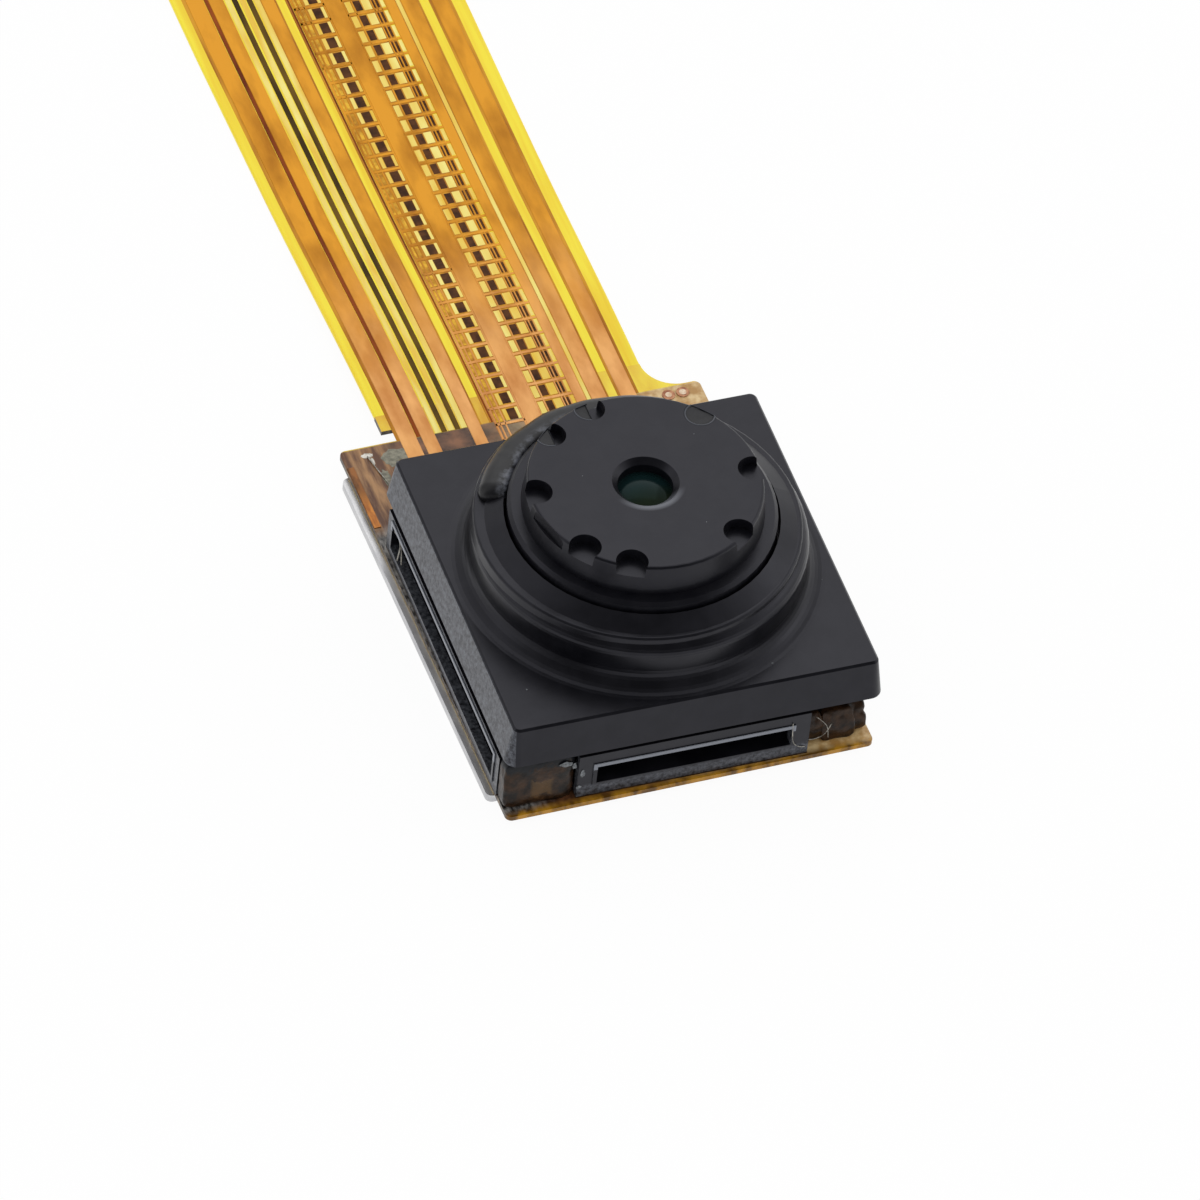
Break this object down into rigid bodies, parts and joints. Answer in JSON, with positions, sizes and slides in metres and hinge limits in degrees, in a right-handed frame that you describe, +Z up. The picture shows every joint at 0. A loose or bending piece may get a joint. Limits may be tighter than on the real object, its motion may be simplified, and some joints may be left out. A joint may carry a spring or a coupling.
{
  "type": "camera module",
  "caption": "Small fixed-focus camera module: square black lens holder with a notched round barrel, on a steel-backed flexible board whose flat tail ends in a row of contacts.",
  "frame": {"origin": "on the lens's axis, at the underside of the steel plate", "axes": "+Z up along the lens's axis, +Y back along the flat tail, +X to the right along the front edge"},
  "size_m": [0.0116, 0.0663, 0.0053],
  "materials": {
    "holder_plastic": "fine satin moulded black, scuffed on its left face",
    "barrel_plastic": "fine satin moulded black",
    "coated_lens": "clear with a teal coating",
    "lens_plastic": "clear, polished",
    "spacer_film": "matt black film",
    "thread_lock": "smooth cured black adhesive",
    "filter_glass": "pale blue coated glass",
    "cover_glass": "clear, polished",
    "dam_resin": "black resin",
    "silicon": "polished silicon",
    "solder": "bright solder",
    "ceramic": "fired brown ceramic",
    "brown_epoxy": "clear brown cured epoxy",
    "amber_film": "amber film over copper tracks",
    "bare_copper": "bare copper",
    "bond_film": "thin bonding film",
    "steel_plate": "rolled stainless sheet",
    "backing_film": "pale stiff film",
    "gold_plate": "gold plate over copper"
  },
  "bodies": {
    "root": {"lens_holder": "holder_plastic", "lens_barrel": "barrel_plastic", "front_lens": "coated_lens", "second_lens": "lens_plastic", "third_lens": "lens_plastic", "rear_lens": "lens_plastic", "front_spacer": "spacer_film", "middle_spacer": "spacer_film", "rear_spacer": "spacer_film", "lens_retainer": "barrel_plastic", "barrel_glue": "thread_lock", "ir_filter": "filter_glass", "sensor_cover_glass": "cover_glass", "sensor_dam": "dam_resin", "sensor_die": "silicon", "sensor_solder_balls": "solder", "capacitors": "ceramic", "capacitor_ends": "solder", "holder_adhesive": "brown_epoxy", "left_corner_glue": "brown_epoxy", "right_corner_glue": "brown_epoxy", "flex_board": "amber_film", "test_pads": "bare_copper", "stiffener_adhesive": "bond_film", "steel_stiffener": "steel_plate", "flex_tail": "amber_film", "contact_stiffener": "backing_film", "contact_fingers": "gold_plate"}
  },
  "joints": []
}
